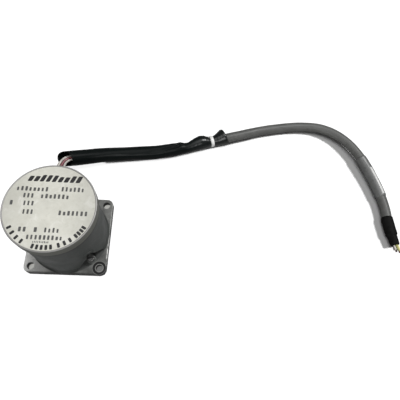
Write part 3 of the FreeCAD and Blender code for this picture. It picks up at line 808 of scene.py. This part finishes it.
# The ratchet head and the tail's stub: size of each block, and how far out from the neck it sits.
HEAD_BLOCKS = [((2.4, 3.6, 1.6), 1.2), ((1.6, 0.7, 1.2), 2.4)]
HEAD_DROP = 0.5
HEAD_BEVEL = 0.25
NECK_R = 3.85
NECK_HALF = 4
# Radius along the sleeve, in mm: on its left as seen along it, which is its upper outline from the
# main camera, and on its right.
SLEEVE_UPPER = [
    (0, 5.8), (10, 5.8), (49, 5.3), (69, 4.9), (84, 5.4), (90, 5.0), (94.5, 3.85), (97, 4.1),
    (100, 5.2), (103, 6.2), (107, 7.0), (110, 6.5), (112.6, 5.1), (114.4, NECK_R), (117.2, NECK_R),
    (119, 4.6), (121.5, 5.8), (124, 7.0), (126.5, 8.1), (128.5, 7.9),
]
SLEEVE_LOWER = [
    (0, 5.8), (10, 5.8), (49, 5.3), (69, 5.9), (84, 5.1), (93, 4.4), (100, 4.5), (107, 4.6), (112, 4.4),
    (114.2, NECK_R), (117.2, NECK_R), (122, 4.7), (128.5, 5.2),
]
FOLD_ANGLE = [(58, 125), (72, 108), (86, 88), (93, 40), (99, 5), (106, -20)]
FOLD_DEPTH = [(58, 0), (72, 0.5), (86, 1.1), (94, 1.3), (102, 0.8), (109, 0)]
# The fold's ridge and its furrow beside it: height, angle past the fold and width, in radians.
FOLD_RIDGE = (0.45, -0.42, 0.3)
FOLD_FURROW = (1.0, 0.08, 0.24)
# The slant of each end: half its reach in mm, its angle round the tube and its run along it in mm.
MOUTH_SLANT = 4.8
MOUTH_SETBACK = 4.4
MOUTH_ANGLE = math.radians(130)
MOUTH_RUN = 14
TAIL_SLANT = 1.1
TAIL_ANGLE = math.radians(10)
TAIL_RUN = 7
# Soft dents and finer creases: how fast they change round and along the tube, and their depth in mm.
DENT_ROUND = 1.3
DENT_RUN = 17
DENT_DEPTH = 0.3
CREASE_RATE = 2.2
CREASE_PLACE = Vector((7, 3, 1))
CREASE_DEPTH = 0.06
SLEEVE_PITCH = 0.6
SLEEVE_SIDES = 96


def sleeve_radius(distance, angle):
    """The sleeve's outer radius in millimetres, with its soft folds and its twist."""
    share = (1 + math.cos(angle)) / 2
    upper = smooth_between(distance, SLEEVE_UPPER)
    radius = share * upper + (1 - share) * smooth_between(distance, SLEEVE_LOWER)
    where = Vector((math.cos(angle) * DENT_ROUND, math.sin(angle) * DENT_ROUND, distance / DENT_RUN))
    crease = noise.noise(where * CREASE_RATE + CREASE_PLACE) * CREASE_DEPTH
    soft = noise.noise(where) * DENT_DEPTH + crease
    away_from_tie = 1 - hill(distance, SLEEVE_LENGTH - TIE_FROM_END, NECK_HALF)
    fold_angle = math.radians(smooth_between(distance, FOLD_ANGLE))
    past_fold = math.remainder(angle - fold_angle, 2 * math.pi)
    ridge, furrow = (
        height * hill(past_fold, centre, width) for height, centre, width in (FOLD_RIDGE, FOLD_FURROW)
    )
    fold = smooth_between(distance, FOLD_DEPTH) * (ridge - furrow)
    return max(radius + (soft + fold) * away_from_tie, NECK_R)


def mouth_shift(distance, angle):
    """How far a point near either end slides along the line, in millimetres, to slant the cut."""
    near = max(0.0, 1 - distance / MOUTH_RUN)
    mouth = (MOUTH_SLANT * (1 + math.cos(angle - MOUTH_ANGLE)) - MOUTH_SETBACK) * near * near
    from_end = SLEEVE_LENGTH - distance
    tail = TAIL_SLANT * (1 + math.cos(angle - TAIL_ANGLE)) * max(0.0, 1 - from_end / TAIL_RUN)
    return mouth - tail


def add_sleeve():
    """The sleeve as an open tube with a wall, and the tie that goes with it."""
    line = Line("sleeve", SLEEVE_ROUTE)

    def ring(distance, wall):
        def station(angle):
            shifted = distance + mouth_shift(distance, angle)
            return mm(shifted), mm(sleeve_radius(distance, angle) - wall)
        return station

    along = steps(0, SLEEVE_LENGTH, SLEEVE_PITCH)
    stations = [ring(distance, 0) for distance in along]
    stations += [ring(distance, SLEEVE_WALL) for distance in reversed(along)]
    piece = swept_shell("cord_sleeve", line, stations, SLEEVE_SIDES, closed=True)
    fit_out(piece, "black_pvc")
    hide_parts("sleeve")
    tie = add_tie(line)


def add_tie(line):
    """Nylon band round the sleeve's neck, with its ratchet head on the far side."""
    half = TIE_WIDTH / 2
    outer = NECK_R + TIE_THICK
    shoulder = outer - TIE_CHAMFER
    section = [
        (-half, NECK_R), (half, NECK_R), (half, shoulder), (half - TIE_CHAMFER, outer),
        (-half + TIE_CHAMFER, outer), (-half, shoulder),
    ]
    middle = SLEEVE_LENGTH - TIE_FROM_END

    def station(offset, radius):
        return lambda angle: (mm(middle + offset), mm(radius))

    stations = [station(*corner) for corner in section]
    band = swept_shell("cord_tie", line, stations, TIE_SIDES, closed=True)
    centre, direction, left, up = line.basis(mm(middle))
    aim = (left * math.cos(HEAD_DROP) - up * math.sin(HEAD_DROP)).normalized()
    across = direction.cross(aim)
    made = bmesh.new()
    made.from_mesh(band.data)
    for (width, breadth, height), lift in HEAD_BLOCKS:
        block = bmesh.ops.create_cube(made, size=1)["verts"]
        for vertex in block:
            x, y, z = vertex.co.x * width, vertex.co.y * breadth, vertex.co.z * height
            vertex.co = centre + (direction * x + across * y + aim * (z + NECK_R + lift)) * MM
        edges = {edge for vertex in block for edge in vertex.link_edges}
        bmesh.ops.bevel(made, geom=list(edges), offset=mm(HEAD_BEVEL), segments=2, affect="EDGES")
    made.to_mesh(band.data)
    made.free()
    fit_out(band, "white_nylon")
    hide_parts("cable_tie")
    return band


# ---- cable, its marker and its boot -----------------------------------------------------------
MARKER_FROM_END = 72.8
MARKER_LENGTH = 36.3
STRIP_FROM_END = 61.6
STRIP_LENGTH = 23.5
BOOT_LENGTH = 19.5
BOOT_OVERHANG = 3.0
# Radius along the cable, in mm: thinner inside the sleeve, thinnest near the tie, then plain.
CABLE_PROFILE = [
    (0, 3.3), (50, 3.3), (76, 3.3), (79, 3.25), (84, 3.3), (94, CABLE_R), (200, CABLE_R),
]
# Past the plain run: distance back from the cable's end and radius, inside the boot.
CABLE_END = [(8.5, CABLE_R), (5.0, 3.0), (2.0, 3.0)]
CABLE_SIDES = 48
CABLE_PITCH = 1.5
CABLE_WOBBLE = 0.12
WOBBLE_RUN = 9
WRAP_THIN = 0.15
WRAP_THICK = 0.5
WRAP_STEP = 0.6
WRAP_PITCH = 0.8
WRAP_WOBBLE = 0.15
WRAP_SEED = 5.0
STRIP_ANGLE = math.radians(80)
STRIP_SPREAD = math.radians(13)
STRIP_LIFTS = (0.45, 0.75)
STRIP_COLUMNS = 5
STRIP_PITCH = 1.0
# The boot outside and in its bore: distance past the cable's end and radius, in mm.
BOOT_OUTER = [
    (-BOOT_LENGTH, 4.0), (0.5 - BOOT_LENGTH, 4.3), (-5.6, 4.25), (-4.2, 3.5), (0, 3.45),
    (BOOT_OVERHANG - 1.0, 3.3), (BOOT_OVERHANG, 2.9),
]
BOOT_BORE = [(BOOT_OVERHANG, 2.4), (0.3, 2.4), (0, 1.0)]
BOOT_PITCH = 0.7
BOOT_DENT_ROUND = 1.2
BOOT_DENT_RUN = 5
BOOT_DENT_DEPTH = 0.1


def plain_sweep(name, line, profile, wobble, seed=0.0, pitch=CABLE_PITCH):
    """A solid along the line, a little uneven: profile is its (distance, radius) stops in mm."""
    begin, end = profile[0][0], profile[-1][0]

    def station(distance):
        radius = smooth_between(distance, profile)

        def ring(angle):
            where = Vector((math.cos(angle), math.sin(angle), distance / WOBBLE_RUN + seed))
            return mm(distance), mm(radius + noise.noise(where) * wobble)
        return ring

    return swept_shell(name, line, [station(d) for d in steps(begin, end, pitch)], CABLE_SIDES)


def add_cable():
    """The cable and the pieces that it carries, which are returned with it."""
    line = Line("cable", CABLE_ROUTE)
    total = line.length / MM
    profile = CABLE_PROFILE + [(total - back, radius) for back, radius in CABLE_END]
    cable = plain_sweep("cord_cable", line, profile, CABLE_WOBBLE)
    fit_out(cable, "grey_pvc")
    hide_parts("cable")
    pieces = [add_marker_wrap(line, total), add_marker_strip(line, total), add_boot(line, total)]
    return [cable] + pieces


def add_marker_wrap(line, total):
    """Film wrapped round the cable, thin at its ends."""
    begin = total - MARKER_FROM_END
    end = begin + MARKER_LENGTH
    thin, thick = CABLE_R + WRAP_THIN, CABLE_R + WRAP_THICK
    outer = [(begin, thin), (begin + WRAP_STEP, thick), (end - WRAP_STEP, thick), (end, thin)]
    piece = plain_sweep("cord_marker_wrap", line, outer, WRAP_WOBBLE, WRAP_SEED, WRAP_PITCH)
    fit_out(piece, "clear_tape")
    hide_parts("marker_wrap")
    return piece


def add_marker_strip(line, total):
    """Thin white strip along the top of the wrap, a little towards the outside of the bend."""
    begin = total - STRIP_FROM_END
    made = bmesh.new()
    rows = []
    middle = (STRIP_COLUMNS - 1) / 2
    for distance in steps(begin, begin + STRIP_LENGTH, STRIP_PITCH):
        centre, _, left, up = line.basis(mm(distance))
        row = []
        for lift in STRIP_LIFTS:
            for index in range(STRIP_COLUMNS):
                angle = STRIP_ANGLE + STRIP_SPREAD * (index - middle) / middle
                ray = left * math.cos(angle) + up * math.sin(angle)
                row.append(made.verts.new(centre + ray * mm(CABLE_R + lift)))
        rows.append(row[:STRIP_COLUMNS] + row[:STRIP_COLUMNS - 1:-1])
    for near, far in zip(rows, rows[1:]):
        for index, corner in enumerate(near):
            after = (index + 1) % len(near)
            made.faces.new((corner, near[after], far[after], far[index]))
    for row in (rows[0], rows[-1]):
        made.faces.new(row)
    piece = mesh_object("cord_marker_strip", made, smooth=True)
    fit_out(piece, "white_paper")
    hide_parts("marker_strip")
    return piece


def add_boot(line, total):
    """Shrunk boot over the cable's cut end: narrower near its tip, with a short bore for the cores."""
    outer = [(total + past, radius) for past, radius in BOOT_OUTER]
    inner = [(total + past, radius) for past, radius in BOOT_BORE]

    def station(distance, radius):
        def ring(angle):
            x, y = math.cos(angle) * BOOT_DENT_ROUND, math.sin(angle) * BOOT_DENT_ROUND
            dent = noise.noise(Vector((x, y, distance / BOOT_DENT_RUN))) * BOOT_DENT_DEPTH
            return mm(distance), mm(radius + dent)
        return ring

    along = steps(outer[0][0], outer[-1][0], BOOT_PITCH)
    stations = [station(distance, smooth_between(distance, outer)) for distance in along]
    stations += [station(*stop) for stop in inner]
    piece = swept_shell("cord_end_boot", line, stations, CABLE_SIDES)
    fit_out(piece, "black_boot")
    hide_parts("end_boot")
    return piece


# ---- label print ----------------------------------------------------------------------------
# Rows of plain blocks in place of words: left end, right end, foot and height, in mm on the label.
TITLE_ROW = (-16, 16.5, 16.5, 4.6)
PRINT_ROWS = [
    (-21, -1.5, 10, 3), (5.5, 20, 10.5, 3), (-16.5, -9.5, 5.5, 3), (-6, 11.5, 5.5, 3),
    (-23.5, -20, 0.5, 3), (-15.5, -8.5, 0.5, 3), (-15, -8, -5, 3), (6, 24, -5, 3),
    (-15.5, -10, -16, 3), (-6.5, -3, -16, 3), (-0.5, 9, -16, 3), (-10, 11.5, -20.5, 2.8),
    (-6, 3.5, -22.5, 1.2),
]
# Groups of blocks round the label's lower edge: first angle, step and number of blocks, in degrees.
ARC_GROUPS = [(-147, 9, 4), (-103, 6, 5), (-69, 8, 3), (-44, 5, 4)]
ARC_RADIUS = 25.1
ARC_HEIGHT = 3.0
ARC_BLOCK_WIDTH = 1.6
PRINT_GAP = 0.005
PRINT_LIFT = 0.03
BLOCK_POINTS = 16
BLOCK_SQUARENESS = 0.75
BLOCK_PITCH = 0.82
WIDTH_SPREAD = 0.08
TITLE_FILL = 0.78
TITLE_LEAN = 0.4
PRINT_FILL = 0.52
PRINT_SEED = 7


def add_block(made, corner, along, height, top, lean=0.0):
    """One printed block: a thin flat tile with its corners eased, leaning forward by lean."""
    forward = along.normalized()
    up = (Vector((-forward.y, forward.x, 0)) + forward * lean) * height
    centre = corner + along / 2 + up / 2
    ring = []
    for index in range(BLOCK_POINTS):
        angle = 2 * math.pi * index / BLOCK_POINTS
        x, y = math.cos(angle), math.sin(angle)
        reach = max(abs(x), abs(y)) ** BLOCK_SQUARENESS
        ring.append(centre + along * (x / reach / 2) + up * (y / reach / 2))
    lower = [made.verts.new((place.x * MM, place.y * MM, top)) for place in ring]
    upper = [made.verts.new((place.x * MM, place.y * MM, top + mm(PRINT_LIFT))) for place in ring]
    made.faces.new(upper)
    made.faces.new(lower[::-1])
    for index in range(BLOCK_POINTS):
        after = (index + 1) % BLOCK_POINTS
        made.faces.new((lower[index], lower[after], upper[after], upper[index]))


def add_print_row(made, chance, row, top, fill, lean):
    """A row of blocks of slightly different widths and heights, as long as the printed line."""
    left, right, foot, height = row
    start = Vector((left, foot, 0))
    run = Vector((right - left, 0, 0))
    count = max(1, round(run.length / (BLOCK_PITCH * height)))
    step = run / count
    for index in range(count):
        width = chance.uniform(fill - WIDTH_SPREAD, fill + WIDTH_SPREAD)
        tall = height * chance.choice((0.8, 1.0, 1.0))
        add_block(made, start + step * index, step * width, tall, top, lean)


def add_label_print():
    """Blocks where the label is printed: bold for its title and lower edge, fine for the rest."""
    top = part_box("label_plate")[1].z + mm(PRINT_GAP)
    chance = random.Random(PRINT_SEED)
    title = bmesh.new()
    add_print_row(title, chance, TITLE_ROW, top, TITLE_FILL, TITLE_LEAN)
    degrees = [first + step * index for first, step, count in ARC_GROUPS for index in range(count)]
    for angle in map(math.radians, degrees):
        outward = Vector((math.cos(angle), math.sin(angle), 0))
        along = Vector((-outward.y, outward.x, 0)) * ARC_BLOCK_WIDTH
        add_block(title, outward * (ARC_RADIUS + ARC_HEIGHT / 2) - along / 2, along, ARC_HEIGHT, top)
    fit_out(mesh_object("label_title", title), "label_foil", looks["bold_ink"])
    made = bmesh.new()
    for row in PRINT_ROWS:
        add_print_row(made, chance, row, top, PRINT_FILL, 0.0)
    fit_out(mesh_object("label_print", made), "label_foil", looks["fine_ink"])


# ---- everything -----------------------------------------------------------------------------
def dress_cad_nodes():
    """Gives each CAD node the look of its slot, without touching its shape."""
    slots = {entry["slot"] for entry in frame["record"]["materials"]}
    for node in frame["nodes"].values():
        for place in node.material_slots:
            name = place.material.name.split(".")[0]
            if name in slots:
                place.material = looks[name].material


looks = make_materials()
dress_cad_nodes()
add_camera()
add_world()
add_lead_wires()
add_sleeve()
cable_pieces = add_cable()
add_label_print()
add_lights(add_floor(), cable_pieces)
